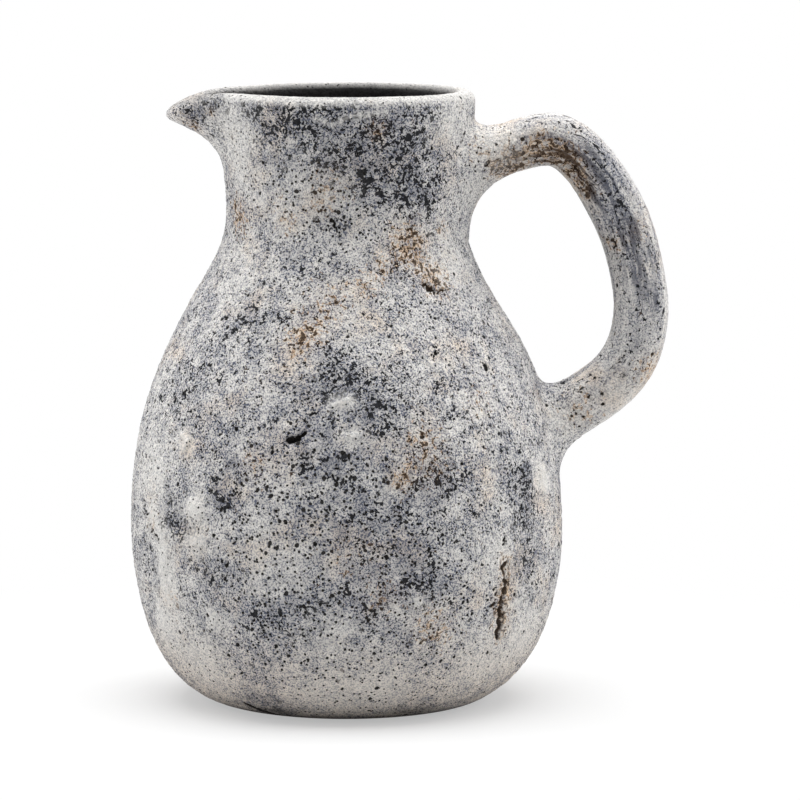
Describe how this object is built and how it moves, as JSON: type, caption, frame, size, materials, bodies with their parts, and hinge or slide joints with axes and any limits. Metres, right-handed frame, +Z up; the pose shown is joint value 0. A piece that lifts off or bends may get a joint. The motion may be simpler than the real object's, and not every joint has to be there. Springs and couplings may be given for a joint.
{
  "type": "terracotta jug",
  "caption": "Weathered terracotta jug with a round belly, a short flared neck, a pinched pouring lip and a thick loop handle, for pouring or display.",
  "frame": {"origin": "centre of the flat foot, on the surface that the jug stands on", "axes": "+Z up along the axis of the pot, +X towards the handle, -X towards the pouring lip"},
  "size_m": [0.229, 0.1844, 0.26],
  "materials": {
    "weathered_terracotta": "matte, limewashed and pitted"
  },
  "bodies": {
    "root": {"base_slab": "weathered_terracotta", "lower_belly_band": "weathered_terracotta", "middle_belly_band": "weathered_terracotta", "upper_belly_band": "weathered_terracotta", "shoulder_band": "weathered_terracotta", "neck_collar": "weathered_terracotta", "rim_coil": "weathered_terracotta", "pouring_lip": "weathered_terracotta", "handle": "weathered_terracotta", "upper_handle_luting": "weathered_terracotta", "lower_handle_luting": "weathered_terracotta"}
  },
  "joints": []
}
